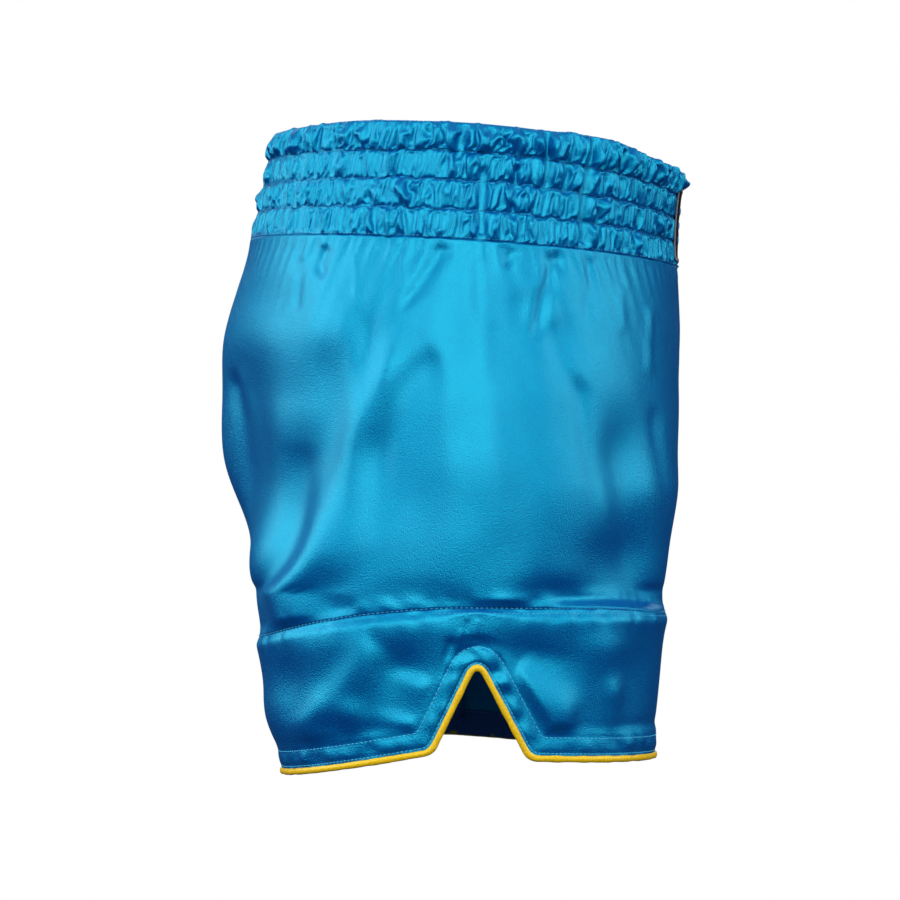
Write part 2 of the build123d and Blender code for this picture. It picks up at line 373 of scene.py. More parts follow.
def gather(name, cut, sewn, seeds, pins, bending, backing=None):
    """Squeezes a flat sheet from its cut size to its sewn size and lets it buckle on the way.

    cut and sewn are the same grid of points, (rows, columns, 3) in millimetres as (along, out, up).
    seeds starts the folds off. pins maps a weight to the points held at their sewn place. backing
    is how far in the cloth may go, where something lies behind it. Returns the gathered points.
    """
    rows, columns, _ = cut.shape
    sheet = make_mesh(name, cut + seeds, grid_faces(rows, columns), bare)
    sheet.shape_key_add(name="cut")
    key = sheet.shape_key_add(name="sewn")
    key.data.foreach_set("co", (sewn * MM).astype(np.float32).ravel())
    for step, value in ((1, 0), (SQUEEZE_FRAMES, 1)):
        key.value = value
        key.keyframe_insert("value", frame=step)
    group = sheet.vertex_groups.new(name="pins")
    for weight, held in pins.items():
        group.add([int(i) for i in held], weight, "REPLACE")
    cloth = sheet.modifiers.new("cloth", "CLOTH")
    settings, collisions = cloth.settings, cloth.collision_settings
    settings.quality, settings.mass, settings.air_damping = 5, 0.1, 1.0
    settings.tension_stiffness, settings.compression_stiffness = 12, 12
    settings.shear_stiffness, settings.bending_stiffness = 2, bending
    settings.tension_damping, settings.compression_damping = 8, 8
    settings.vertex_group_mass = "pins"
    settings.effector_weights.gravity = 0.0
    collisions.use_self_collision = False
    collisions.use_collision = backing is not None
    helpers = [sheet]
    if backing is not None:
        collisions.distance_min, collisions.collision_quality = CLOTH_GAP, 2
        helpers.append(wall_behind(name, cut, backing))
    cloth.point_cache.frame_start, cloth.point_cache.frame_end = 1, FRAMES
    for step in range(1, FRAMES + 1):
        bpy.context.scene.frame_set(step)
    done = sheet.evaluated_get(bpy.context.evaluated_depsgraph_get()).data
    points = np.empty(rows * columns * 3, np.float32)
    done.vertices.foreach_get("co", points)
    for helper in helpers:
        bpy.data.objects.remove(helper)
    bpy.context.scene.frame_set(1)
    return points.reshape(rows, columns, 3).astype(float) / MM


# ---- Materials ----
def material(name, colour, roughness, **values):
    """A plain Principled material. values are other inputs, named with _ for a space."""
    made = bpy.data.materials.new(name)
    made.use_nodes = True
    shader = made.node_tree.nodes["Principled BSDF"]
    shader.inputs["Base Color"].default_value = (*colour, 1)
    shader.inputs["Roughness"].default_value = roughness
    for key, value in values.items():
        shader.inputs[key.replace("_", " ")].default_value = value
    return made


def node(tree, kind, **inputs):
    """A shader node with some of its inputs set."""
    made = tree.nodes.new("ShaderNode" + kind)
    for key, value in inputs.items():
        made.inputs[key].default_value = value
    return made


def cloth_material(name, dark, light, roughness, grain, weave, fibre=(1, 1, 1), **values):
    """Woven cloth: colour that varies thread by thread, and a fine woven relief.

    The pattern is noise on the object's own coordinates, stretched by fibre.
    """
    made = material(name, light, roughness, **values)
    tree = made.node_tree
    shader = tree.nodes["Principled BSDF"]
    place, stretched = node(tree, "TexCoord"), node(tree, "Mapping", Scale=fibre)
    threads = node(tree, "TexNoise", Scale=grain, Detail=3.0)
    shade = node(tree, "ValToRGB")
    relief = node(tree, "Bump", Strength=weave, Distance=0.0004)
    for stop, position, colour in zip(shade.color_ramp.elements, (0.3, 0.7), (dark, light)):
        stop.position, stop.color = position, (*colour, 1)
    for source, output, target, input_name in (
            (place, "Object", stretched, "Vector"), (stretched, "Vector", threads, "Vector"),
            (threads, "Fac", shade, "Fac"), (shade, "Color", shader, "Base Color"),
            (threads, "Fac", relief, "Height"), (relief, "Normal", shader, "Normal")):
        tree.links.new(source.outputs[output], target.inputs[input_name])
    return made


satin = cloth_material(
    "satin", (0.0001, 0.019, 0.19), (0.0002, 0.040, 0.29), 0.40, 1300, 0.9,
    IOR=3.4, Specular_Tint=(0.006, 0.71, 0.86, 1), Coat_Weight=0.12, Coat_Roughness=0.36)
satin_back = cloth_material(
    "satin_back", (0.001, 0.07, 0.27), (0.002, 0.11, 0.36), 0.6, 1300, 0.2, IOR=1.6)
yellow = cloth_material(
    "piping_satin", (0.62, 0.36, 0.0), (0.86, 0.56, 0.006), 0.42, 900, 0.3,
    IOR=1.8, Specular_Tint=(1.0, 0.85, 0.3, 1))
# The stitching thread made darker: its own blue plus painted shade, for the band and waist seams, which
# lie in shade.
thread_with_painted_shade = cloth_material("thread", (0.01, 0.25, 0.5), (0.03, 0.42, 0.72), 0.5, 2500, 0.3)
# The stitching thread made lighter: its own blue plus a painted highlight, matching the lit lip of cloth
# along the hem's edge. Both hem rows use it.
thread_with_painted_highlight = cloth_material("light_thread_painted_highlight", (0.03, 0.38, 0.62), (0.06, 0.55, 0.82), 0.45, 2500, 0.3)
thread_dark = cloth_material("dark_thread", (0.0, 0.09, 0.26), (0.002, 0.16, 0.40), 0.55, 2500, 0.3)
overlock_thread = cloth_material("overlock", (0.01, 0.2, 0.45), (0.02, 0.3, 0.6), 0.6, 2000, 0.4)
white_tape = cloth_material("white_tape", (0.72, 0.72, 0.70), (0.9, 0.9, 0.88), 0.5, 1500, 0.3)
elastic_tape = cloth_material("elastic", (0.6, 0.6, 0.58), (0.86, 0.86, 0.84), 0.8, 700, 0.6, (1, 1, 0.1))
label_black = cloth_material(
    "label_ground", (0.004, 0.004, 0.006), (0.014, 0.014, 0.018), 0.9, 1800, 0.4, Specular_IOR_Level=0.05)
label_pale = cloth_material(
    "label_border", (0.10, 0.11, 0.12), (0.26, 0.28, 0.30), 0.8, 1500, 0.5, Specular_IOR_Level=0.15)
label_blue = cloth_material("label_motif", (0.05, 0.2, 0.5), (0.16, 0.4, 0.75), 0.5, 1500, 0.5)
metal = material("eyelet_metal", (0.62, 0.61, 0.58), 0.28, Metallic=1.0)


# ---- The waistband ----
RING_Z = -40  # the height at which the waistband's length is measured
BAND_HEIGHT = 66.0  # of the flat waistband, top edge to seam
BAND_Z = (-79, 19)  # the heights between which the garment's outline shapes the band
PUCKER_STEP, ROW_STEPS = 1.35, 11  # the grid's spacing, and its rows to each row of elastic
GATHER_RATIO, LINING_RATIO = 1.42, 1.25  # the cut length to the sewn length
ELASTIC_FACE = -1.1  # the cloth can't go further in than this
EYELET_X, EYELET_UP = 22, 8
TOP_RUFFLE = [  # how much higher the ruffled top edge stands, by Y
    (-113, 1.5), (-102, 0), (-79, 3.2), (-57, 1.7), (-35, -0.3), (-13, -0.6), (32, -0.6), (76, 0.3),
    (110, -0.6)]
RIM = [  # the top edge turning over to the inside: (share of the way in, rise)
    (1.0, -3.2), (0.95, -0.4), (0.8, 0.6), (0.55, 0.9), (0.28, 0.5)]
RIM_IN = -3.45
GROOVES = [  # deep pleats through several rows: (how far behind the side, top row, bottom row, depth)
    (-71, 0.0, 4.05, 4.4), (-42, 0.0, 2.1, 3.4), (-56, 0.8, 2.0, 2.6), (-8, 1.6, 4.0, 2.4),
    (-27, 1.4, 3.2, 2.0), (-84, 2.0, 3.4, 1.8), (-92, 0.1, 1.4, 1.8), (10, 0.0, 1.3, 1.6),
    (58, 1.0, 4.0, 1.2), (-100, 0.2, 1.4, 1.6), (-118, 2.2, 4.0, 1.4), (96, 0.1, 1.2, 1.2),
]


def ring_table():
    """Angles along the waistband's ring, from the centre back round by the right side."""
    angles = np.linspace(math.pi / 2, -1.5 * math.pi, 2401)
    x, y = outline(np.full_like(angles, RING_Z), angles)
    along = np.concatenate([[0], np.cumsum(np.hypot(np.diff(x), np.diff(y)))])
    return along, angles


RING_ALONG, RING_ANGLES = ring_table()
RING_LENGTH = RING_ALONG[-1]
SIDE_ALONG = float(np.interp(0, -RING_ANGLES, RING_ALONG))


def on_ring(along, out, up):
    """Points of the waistband, from (along, out, up) on the flat band. up runs from 0 to minus 66."""
    angle = np.interp(along, RING_ALONG, RING_ANGLES)
    share = -up / BAND_HEIGHT
    z = -BAND_HEIGHT * share
    for _ in range(4):
        _, y = outline(np.clip(z, *BAND_Z), angle)
        z = top_line(y) + (waist_seam(y) - top_line(y)) * share
    points = on_surface(np.clip(z, *BAND_Z), angle, out)
    points[..., 2] = z
    return points


def pucker_grid():
    """(along, up) of the flat waistband's grid, from its top edge down."""
    columns = round(RING_LENGTH / PUCKER_STEP) + 1
    up = np.linspace(0, -BAND_HEIGHT, ROWS * ROW_STEPS + 1)
    return np.meshgrid(np.linspace(0, RING_LENGTH, columns), up)


def gathered_band():
    """The flat waistband's points after gathering: (rows, columns, 3)."""
    along, up = pucker_grid()
    rows, columns = along.shape
    row_share = (-up / BAND_HEIGHT * ROWS) % 1.0
    wave = 0.6 * lumps(3, along, up, 5.5, 20, 60)
    sewn = np.stack([along, -0.7 + wave, up + 0.6 * lumps(4, along, up, 7, 30, 60)], axis=-1)
    sewn[0, :, 1] = 0.2 + 1.2 * lumps(5, along[0], up[0], 4, 40)
    sewn[0, :, 2] += 0.9 * lumps(6, along[0], up[0], 5.6, 40)
    cut = np.stack([along * GATHER_RATIO, 0 * along, up * 1.14], axis=-1)
    seeds = np.zeros_like(sewn)
    puff = np.sin(math.pi * row_share) ** 0.7
    shift = 3 * lumps(9, up, up, 12, 12)
    seeds[..., 1] = puff * (0.6 + 1.7 * lumps(7, along + shift, up, 8, 24, 80))
    seeds[0, :, 1] = 0
    held = np.arange(rows * columns).reshape(rows, columns)
    firm = np.concatenate([held[ROW_STEPS::ROW_STEPS].ravel(), held[:, 0], held[:, -1]])
    pins = {0.5: held[0], 1.0: np.unique(firm)}
    return gather("band", cut, sewn, seeds, pins, bending=22, backing=ELASTIC_FACE - 0.3)


def band_relief(out, along, row):
    """The cloth's relief: puffed between the rows of elastic, with the deep pleats pressed in."""
    puff = np.sin(math.pi * (row % 1.0)) ** 0.8
    out = 1.3 * out + 0.5 * puff - 0.9
    side = along - SIDE_ALONG
    for at, top, bottom, depth in GROOVES:
        reach = smooth((row - top + 0.15) / 0.3) * smooth((bottom - row + 0.15) / 0.3)
        near = side + (at + 1.5 * np.sin(row * 1.7 + at))
        out = out + 0.6 * depth * reach * puff * bell(np.abs(near) - 4.8, 2.6)
        out = out - 2.0 * depth * reach * bell(near, 2.3)
    behind = smooth(1.8 * np.sin(np.interp(along, RING_ALONG, RING_ANGLES)) - 0.7)
    out = np.maximum(out - 2.2 * behind, -1.3)
    from_front = np.abs(along - RING_LENGTH / 2)
    under_label = smooth((43 - from_front) / 5) * smooth((row - 0.3) / 0.3) * smooth((3.95 - row) / 0.2)
    return out - under_label * (out - np.clip(out * 0.4 - 0.4, -1.3, 0.35))


def waistband():
    """The outer casing. Its last row is tucked behind the top edges of the leg panels."""
    points = gathered_band()
    along, out, up = points[..., 0], points[..., 1], points[..., 2]
    grid_along, grid_up = pucker_grid()
    row = -grid_up / BAND_HEIGHT * ROWS
    out = band_relief(out, grid_along, row)
    up[-1], out[-1] = grid_up[-1] - 0.6, -0.45
    out[-3:-1] = np.maximum(out[-3:-1], 0.15)
    up[0] = np.clip(up[0], -0.3, 0.4)
    _, y = outline(np.full_like(grid_along[0], -12.0), np.interp(grid_along[0], RING_ALONG, RING_ANGLES))
    up += np.interp(y, *zip(*TOP_RUFFLE)) * smooth(1 - row)
    rim = np.array([(along[0], out[0] + (RIM_IN - out[0]) * share, up[0] + rise) for share, rise in RIM])
    shell = on_ring(*(np.concatenate([rim[:, k], whole]) for k, whole in enumerate((along, out, up))))
    faces = grid_faces(len(shell), shell.shape[1] - 1, closed=True, flip=True)
    return subdivided(make_mesh("waistband_satin", shell[:, :-1], faces, satin))


def lining_band():
    """The inner casing, puffed between the rows of elastic by smooth random patterns, facing the body."""
    along, up = pucker_grid()
    along, up = along[::2, ::2], up[::2, ::2]  # every other point is enough inside
    row = -up / BAND_HEIGHT * ROWS
    puff = np.sin(math.pi * (row % 1.0)) ** 0.7
    folds = lumps(21, along, up, 5, 18, 60) + 0.6 * lumps(22, along, up, 3.2, 12, 60)
    out = -3.9 - puff * (0.5 + 0.9 * np.abs(folds))
    front = RING_LENGTH / 2
    for x in (-EYELET_X, EYELET_X):
        away = np.hypot(along - front - x, up + EYELET_UP)
        out = np.where(away < 9, -4.1 + (out + 4.1) * smooth((away - 6.5) / 2.5), out)
    up[0] -= 1.0
    return grid_mesh("waistband_lining", on_ring(along, out, up), satin_back, closed=True)


# ---- The legs ----
PANEL_COLUMNS, PANEL_ROWS, GATHER_ROWS = 262, 112, 42
PANEL_HEIGHT, GATHER_DEPTH = 215, 60.0
CENTRE_GAP, CROTCH_GAP = 0.08, 0.1  # how near to the middle plane a leg panel's points go
BAND_COLUMNS, BAND_ROWS = 420, 46
HEM_HEIGHT, LEG_ROUND = 80, 600  # about the height of a hem band and its length round
SATIN_THICK = 0.5
EDGE_INSET = PIPING_WIDTH - 0.6  # the hem band ends a little inside the piping
FACING_STITCH, EDGE_STITCH = 13.5, 4.8  # the two rows' distances from the hem's edge
FOLDS = [  # (points as (Y, Z), half widths from its start to its end, height)
    ([(19, -70), (31, -88), (46, -112)], (5.0, 4.6, 3.0), -2.1),
    ([(29, -76), (39, -92), (54, -112)], (4.0, 4.4, 3.4), 0.8),
    ([(3, -80), (2.4, -113)], (3.0, 2.6), -0.7),
    ([(-43, -72), (-36, -99), (-30, -132)], (5.0, 3.8, 2.8), -2.3),
    ([(-36, -80), (-29, -99), (-23, -126)], (4.5, 4.5, 3.4), 0.7),
    ([(-20, -74), (-11, -85)], (3.2, 2.6), -1.4),
    ([(-97, -104), (-97, -150)], (2.6, 2.6), 0.9),
    ([(-79, -92), (-80, -126)], (2.6, 3.0), 0.5),
    ([(71, -76), (71, -112)], (1.8, 1.6), 0.6),
    ([(44, -74), (43, -104)], (1.7, 1.5), 0.6),
    ([(88, -71), (93, -82), (88, -92)], (3.6, 3.6, 3.0), -1.6),
    ([(103, -76), (108, -114)], (3.0, 2.8), -0.8),
    ([(-62, -76), (-60, -118)], (3.0, 3.8), -0.8),
    ([(-1, -112), (-2, -156)], (4, 4), 0.5),
    ([(147, -138), (141, -170), (139, -200), (140, -225), (141, -250)], (3, 6, 7, 5), -4.0),
    ([(143, -136), (134, -170), (129, -199), (131, -228), (135, -252)], (4, 5, 5, 4), 1.0),
    ([(-117.5, -84), (-118.5, -120), (-117, -160)], (1.6, 1.6), -1.8),
]
TILTS = [  # (place or line as (Y, Z), half widths, how far it leans up in degrees, its own turn if any)
    ((65, -117), (9, 14), -13, -8), ((88, -131), (13, 13), -11), ((101, -184), (12, 13), -9),
    ((-43, -118), (9, 9), -12), ((-25, -101), (8, 8), -8), ((-55, -151), (5, 9), -15, -35),
    ((-79, -181), (15, 22), -17, 10), ((-74, -246), (20, 17), -22, 15), ((-45, -266), (25, 8), -24),
    ((-91, -235), (12, 24), -13), ((84, -263), (13, 14), -20, -12), ((35, -264), (20, 7), -11),
    ([(21, -129), (41, -143), (50, -154), (56, -169), (62, -186), (67, -204)], (8, 8, 8, 7), -16),
    ([(102, -180), (110, -215), (114, -240), (114, -270)], (9, 11, 10, 9), -11),
    ([(47, -117), (65, -157), (75, -182), (86, -212), (96, -243), (104, -276)], (9, 11, 11, 9), 14),
    ((5, -190), (28, 17), 8), ((26, -158), (12, 12), 8), ((-3, -160), (14, 30), 4),
    ((20, -235), (26, 18), 7), ((-25, -222), (20, 22), 8), ((-95, -205), (8, 12), 4),
    ((-13, -271), (8, 4), 20), ((-39, -272), (7, 4), 22), ((-51, -275), (5, 3), 18),
    ((66, -278), (5, 4), 16), ((52, -274), (4, 3), 16), ((38, -272), (5, 3), 14),
    ((14, -269), (12, 6), -9), ((-84, -273), (12, 4), 12), ((-86, -146), (8, 14), 3),
    ((-100, -167), (4, 7), -10), ((118, -160), (10, 22), 5), ((-70, -210), (8, 10), 5),
    ((108, -222), (13, 26), -10),
]
BAND_FOLDS = [  # the hem band's, in the same form
    ([(17, -290), (21, -318), (28, -340)], (3.0, 3.2, 2.5), -1.5),
    ([(11, -286), (14, -316)], (2.6, 2.6), 0.5),
    ([(8, -281), (12, -304)], (2.0, 1.8), -0.5),
    ([(3, -281), (5, -302)], (1.8, 1.8), 0.35),
]
BAND_TILTS = [  # the hem band's, in the same form
    ([(57, -292), (82, -321), (104, -338)], (10, 9, 6), 24), ((37, -316), (12, 4), 26, 12),
    ((40, -339), (15, 4), 28, 14), ((73, -331), (7, 6), 18), ((100, -338), (8, 5), 22, -20),
    ((44, -305), (13, 9), -14), ((110, -313), (10, 18), -12), ((-34, -299), (20, 6), -14, 10),
    ([(-16, -309), (-34, -322), (-56, -336)], (8, 13, 10), 29), ((-74, -320), (6, 6), 18),
    ((-68, -294), (13, 8), 17), ((-88, -310), (12, 22), -6), ((84, -292), (40, 9), 15, -9),
    ((35, -283), (40, 6), 17), ((-36, -282), (26, 5), 17), ((-74, -282), (20, 4), 15),
    ((62, -343), (50, 5), -10, 8), ((-80, -345), (36, 6), -8),
]


def leg_point(f, z):
    return on_surface(z, angle_at(z, f))


def panel_grid():
    """(f, v, z, y) of the leg panel's grid, from the waist seam down to the band seam."""
    f, v = np.meshgrid(np.linspace(0, 1, PANEL_COLUMNS), np.linspace(0, 1, PANEL_ROWS))
    z = -70 - PANEL_HEIGHT * v
    for _ in range(5):
        y = leg_point(f, z)[..., 1]
        z = (waist_seam(y) - 0.2) * (1 - v) + (band_seam(y) + 0.2) * v
    return f, v, z, y


def length_at(z):
    return np.interp(z, TABLE_Z, LENGTHS)


def tilted(y, z, tilts, base, recovery, start):
    """How far the cloth stands out when it leans by given angles, worked out down each column.

    Each tilt is (place or line, half widths, degrees, turn). Above zero the cloth faces up there.
    recovery is the height over which the cloth swings back to the smooth surface.
    """
    lean = base + 0 * y
    for place, size, degrees, *turn in tilts:
        spread = dent(y, z, place, size, *turn) if np.ndim(place) == 1 else fold(y, z, place, size)
        lean = lean + degrees * spread
    lean = lean + 1.6 * lumps(start, y, z, 34, 40) + 0.5 * lumps(start + 1, y, z, 18, 16)
    out = np.zeros_like(y)
    for row in range(1, len(y)):
        drop = z[row - 1] - z[row]
        out[row] = out[row - 1] * np.exp(-drop / recovery) + np.tan(np.radians(lean[row])) * drop
    return out


def creased(y, z, folds):
    return sum(height * fold(y, z, line, widths) for line, widths, height in folds)


def drape(y, z, outer, seed):
    """How far the hanging cloth stands out from the smooth surface: its soft folds and hollows."""
    hang = smooth((-78 - z) / 30)
    return creased(y, z, FOLDS) * outer + hang * tilted(y, z, TILTS, 0.0, 40, seed)


def gathered_top(name, f, z, seed):
    """How the top of a leg's panel moves when it's gathered, as (along, out, up)."""
    depth = np.abs(z - z[:1])
    share = smooth(1 - depth / GATHER_DEPTH)
    along = (f - 0.5) * length_at(z)
    sewn = np.stack([along, 0 * along, z], axis=-1)
    cut = sewn.copy()
    cut[..., 0] *= 1 + 0.09 * share
    seeds = np.zeros_like(sewn)
    seeds[..., 1] = (0.2 + 1.1 * lumps(seed + 5, along, z, 13, 60, 60)) * smooth(depth / 4) * share
    held = np.arange(z.size).reshape(z.shape)
    firm = np.concatenate([held[0], held[-1], held[:, 0], held[:, -1]])
    moved = gather(name, cut, sewn, seeds, {1.0: np.unique(firm)}, bending=6) - sewn
    uneven = 0.5 + 0.5 * np.abs(lumps(seed + 7, along, z, 26, 40))
    facing_out = smooth(1.8 * np.cos(angle_at(z, f)) - 0.5)
    fading = 0.2 + 0.5 * smooth(1 - depth / 24)
    moved[..., 1] = moved[..., 1] * uneven * (0.25 + 0.75 * facing_out) * fading
    return moved


def leg_panel(name, side, seed):
    """A leg's panel: gathered at the waist seam, hanging in soft folds to the band seam."""
    f, v, z, y = panel_grid()
    zone = slice(0, GATHER_ROWS)
    moved = gathered_top(name, f[zone], z[zone], seed)
    new_f, new_z, out = f.copy(), z.copy(), np.zeros_like(z)
    new_f[zone] += moved[..., 0] / length_at(z[zone])
    new_z[zone] += moved[..., 2]
    out[zone] = moved[..., 1]
    angle = angle_at(new_z, new_f)
    outer = smooth((np.cos(angle) + 0.25) * 1.6)
    behind = smooth(1.6 * np.sin(angle) - 0.5)
    bulge = 5.0 * behind * bell(z + 264, 26)
    edges = smooth(f * 30) * smooth((1 - f) * 30) * smooth(v * 26) * smooth((1 - v) * 40)
    out = out + (bulge + drape(y, z, outer, seed)) * edges
    from_top, from_bottom = v * PANEL_HEIGHT, (1 - v) * PANEL_HEIGHT
    pleats = lumps(seed + 9, (f[:1] - 0.5) * length_at(z[:1]) + 0 * z, z, 4.2, 30, 60)
    out += 0.35 * pleats * bell(from_bottom, 7) * edges
    out += 0.15 * bell(from_top, 5) - 0.25 * bell(from_bottom, 1.6)
    points = on_surface(new_z, angle, out)
    for edge in (0, -1):
        points[:, edge, 0] = np.minimum(points[:, edge, 0], -CENTRE_GAP)
    at_crotch = (np.abs(new_z - CROTCH_Z) < 3.4) & (points[..., 0] > -3.6)
    points[at_crotch, 0] = -CROTCH_GAP
    return thickened(subdivided(grid_mesh(name, points, satin, side)), SATIN_THICK)


def hem_grid():
    """(f, v, z, y, outer) of the hem band's grid. Its columns crowd together round the notch."""
    even = np.linspace(0, 1, 2001)
    start = np.full_like(even, -330.0)
    y = leg_point(even, start)[:, 1]
    outer = np.cos(angle_at(start, even)) > 0
    weight = 1 + 2.2 * bell(y - 2, 30, 4) * outer
    total = np.concatenate([[0], np.cumsum((weight[1:] + weight[:-1]) / 2)])
    columns = np.interp(np.linspace(0, total[-1], BAND_COLUMNS), total, even)
    f, v = np.meshgrid(columns, np.linspace(0, 1, BAND_ROWS))
    z = -277 - 90 * v
    for _ in range(6):
        angle = angle_at(z, f)
        _, y = outline(z, angle)
        z = (band_seam(y) - 0.2) * (1 - v) + hem_at(y, angle, EDGE_INSET) * v
    return f, v, z, y, np.cos(angle) > 0


def hem_band(name, side, seed):
    """A leg's hem band, notched at the side and drawn in by its two rows of stitches."""
    f, v, z, y, outer = hem_grid()
    to_edge = np.where(outer, hem_distance(y, z, True), hem_distance(y, z, False))
    behind = smooth(1.6 * np.sin(angle_at(z, f)) - 0.5)
    out = 2.8 + 2.6 * behind * bell(z + 342, 15) + tilted(y, z, BAND_TILTS, -13.0, 16, seed + 6)
    out += creased(y, z, BAND_FOLDS) * outer
    out *= smooth((to_edge - 14) / 8) * smooth(v * 12)
    along, from_top = (f - 0.5) * LEG_ROUND, v * HEM_HEIGHT
    out += 0.3 * lumps(seed + 1, along, z, 5, 26, 60) * bell(from_top, 8) * smooth(v * 40)
    steep = bell(y - 2, 24, 4) * outer
    bumps = 0.35 * lumps(seed + 2, along, z, 7, 9, 50) + 0.7 * steep * lumps(seed + 3, y, z, 7, 7, 50)
    out += bell(to_edge - 9, 5) * bumps
    out += 0.35 * bell(to_edge - 9, 4)
    out -= 0.45 * bell(to_edge - 0.1 - FACING_STITCH, 1.1) + 0.5 * bell(to_edge - 0.1 - EDGE_STITCH, 0.8)
    out -= 0.3 * bell(from_top, 1.5)
    points = on_surface(z, angle_at(z, f), out)
    return thickened(subdivided(grid_mesh(name, points, satin, side, closed=True)), SATIN_THICK)


def hem_points(f, inset, start, out=0.0):
    """Points at shares f of the way round, on the line that follows the hem at a distance inset.

    start is a first guess at their height.
    """
    z = np.full_like(f, start)
    for _ in range(8):
        angle = angle_at(z, f)
        _, y = outline(z, angle)
        z = hem_at(y, angle, inset)
    return on_surface(z, angle, out)


def hem_line(inset):
    """A closed line round the right leg that follows the hem at a distance above its edge."""
    return hem_points(np.linspace(0, 1, 6001)[:-1], inset, -360.0)


def outward(path):
    """Outward unit vectors of points on a leg: level, and square to its outline."""
    z = path[:, 2]
    spread = LEG_CENTRE * smooth((SPREAD_TOP - z) / SPREAD_SPAN)
    x_share = (path[:, 0] + spread) / (half_width_at(z) - spread) ** 2
    y_share = (path[:, 1] - centre_at(z)) / half_depth_at(z) ** 2
    return unit(np.stack([x_share, y_share, 0 * z], axis=1))


def ring_mesh(name, rings, look, flip=False):
    """A closed tube from its rings of points."""
    rings = np.concatenate([rings, rings[:1]])
    return make_mesh(name, rings, grid_faces(len(rings), rings.shape[1], closed=True, flip=flip), look)


def piping(name, side):
    """The yellow piping: a folded tape round the hem's edge."""
    path = resample(hem_line(PIPING_WIDTH / 2), 1.0, closed=True)
    along = unit(np.roll(path, -1, axis=0) - np.roll(path, 1, axis=0))
    face = outward(path)
    up = unit(np.cross(face, along))
    where = np.arange(len(path), dtype=float)
    swell = 1 + 0.05 * lumps(31, where, 0 * where, 7, 9)[:, None]
    points = tube_points(path, face * 1.35 * swell, up * PIPING_WIDTH / 2 * swell, 14)
    return ring_mesh(name, sided(points, side), yellow, flip=side > 0)


def hem_facing(name, side):
    """The facing folded up inside the hem and stitched down along its top."""
    f = hem_grid()[0][:1]
    rows = []
    for inset in (15.2, 14.6, 13.6, 12.0, 10.0, 7.5, 5.0, 3.0, 1.6, 0.9):
        ripple = 0.25 * lumps(41, (f - 0.5) * LEG_ROUND, 0 * f + inset, 7, 12, 50)
        rows.append(hem_points(f, inset, -350.0, -1.15 + ripple * (inset < 15) - 0.3 * (inset > 14))[0])
    return thickened(grid_mesh(name, np.array(rows), satin_back, side, closed=True), 0.4)


# ---- Stitches ----
CLEAR, REACH = 12, 22  # how far outside the cloth a path's points start, and how far in they look
STITCH_SIDES = 6
STITCH_PROFILE = [(-0.5, 0.1), (-0.44, 0.7), (-0.2, 1.0), (0.2, 1.0), (0.44, 0.7), (0.5, 0.1)]


def settle(path, facing, pieces, height):
    """Drops a path's points from outside onto the nearest of some pieces, and lifts them by height."""
    graph = bpy.context.evaluated_depsgraph_get()
    trees = [BVHTree.FromObject(piece, graph) for piece in pieces]
    settled = []
    for point, out in zip(path, facing):
        start = Vector((point + CLEAR * out) * MM)
        found = [tree.ray_cast(start, Vector(-out), REACH * MM)[3] for tree in trees]
        near = min([r for r in found if r is not None], default=CLEAR * MM)
        settled.append(point + out * (CLEAR - near / MM + height))
    return np.array(settled)


def stitches(name, paths, pitch, length, radius, look, closed=True):
    """Rows of separate stitches along paths: each a little rounded capsule lying on the cloth."""
    turn = np.linspace(0, 2 * math.pi, STITCH_SIDES, endpoint=False)
    rows = []
    for path in paths:
        dense = resample(path, pitch, closed=closed)
        ahead = np.roll(dense, -1, axis=0) if closed else dense[1:]
        start = dense if closed else dense[:-1]
        direction = unit(ahead - start)
        other = unit(np.cross(direction, np.array([0.3, 0.2, 1.0]) + 0 * direction))
        up = unit(np.cross(direction, other))
        sweep = up[:, None] * np.cos(turn)[None, :, None] + other[:, None] * np.sin(turn)[None, :, None]
        middle = (start + ahead) / 2
        rings = [(middle + direction * share * length)[:, None] + radius * size * sweep
                 for share, size in STITCH_PROFILE]
        rows.append(np.stack(rings, axis=1).reshape(-1, 3))
    points, faces = np.concatenate(rows), []
    for start in range(0, len(points), len(STITCH_PROFILE) * STITCH_SIDES):
        faces += grid_faces(len(STITCH_PROFILE), STITCH_SIDES, closed=True, start=start)
    return make_mesh(name, points, faces, look)


def settled_on_leg(path, side, pieces, height):
    return settle(sided(path, side), sided(outward(path), side), pieces, height)


def hem_stitches(name, side, pieces, distance, pitch, length, radius):
    """A row of stitches that follows the hem at a distance from its edge."""
    path = settled_on_leg(resample(hem_line(distance), pitch / 2, closed=True), side, pieces, 0.05)
    # Thread lightened with a painted highlight, for the lit lip of cloth along the hem's edge.
    return stitches(name, [path], pitch, length, radius, thread_with_painted_highlight)


def band_seam_path(shift, from_share, to_share):
    f = np.linspace(from_share, to_share, 700)
    z = np.full_like(f, -280.0)
    for _ in range(6):
        y = leg_point(f, z)[:, 1]
        z = band_seam(y) + shift
    return leg_point(f, z)


def band_seam_stitches(name, side, pieces):
    """The band seam's stitching: a row on the seam, and a second just below it on the front half."""
    paths = []
    for shift, from_share, to_share, height in ((0.0, 0, 1, 0.1), (-2.8, 0.04, 0.52, -0.05)):
        path = resample(band_seam_path(shift, from_share, to_share), 1.4)
        paths.append(settled_on_leg(path, side, pieces, height))
    # Thread darkened with painted shade, as the band seam lies in shade.
    return stitches(name, paths, 2.8, 1.9, 0.26, thread_with_painted_shade, closed=False)


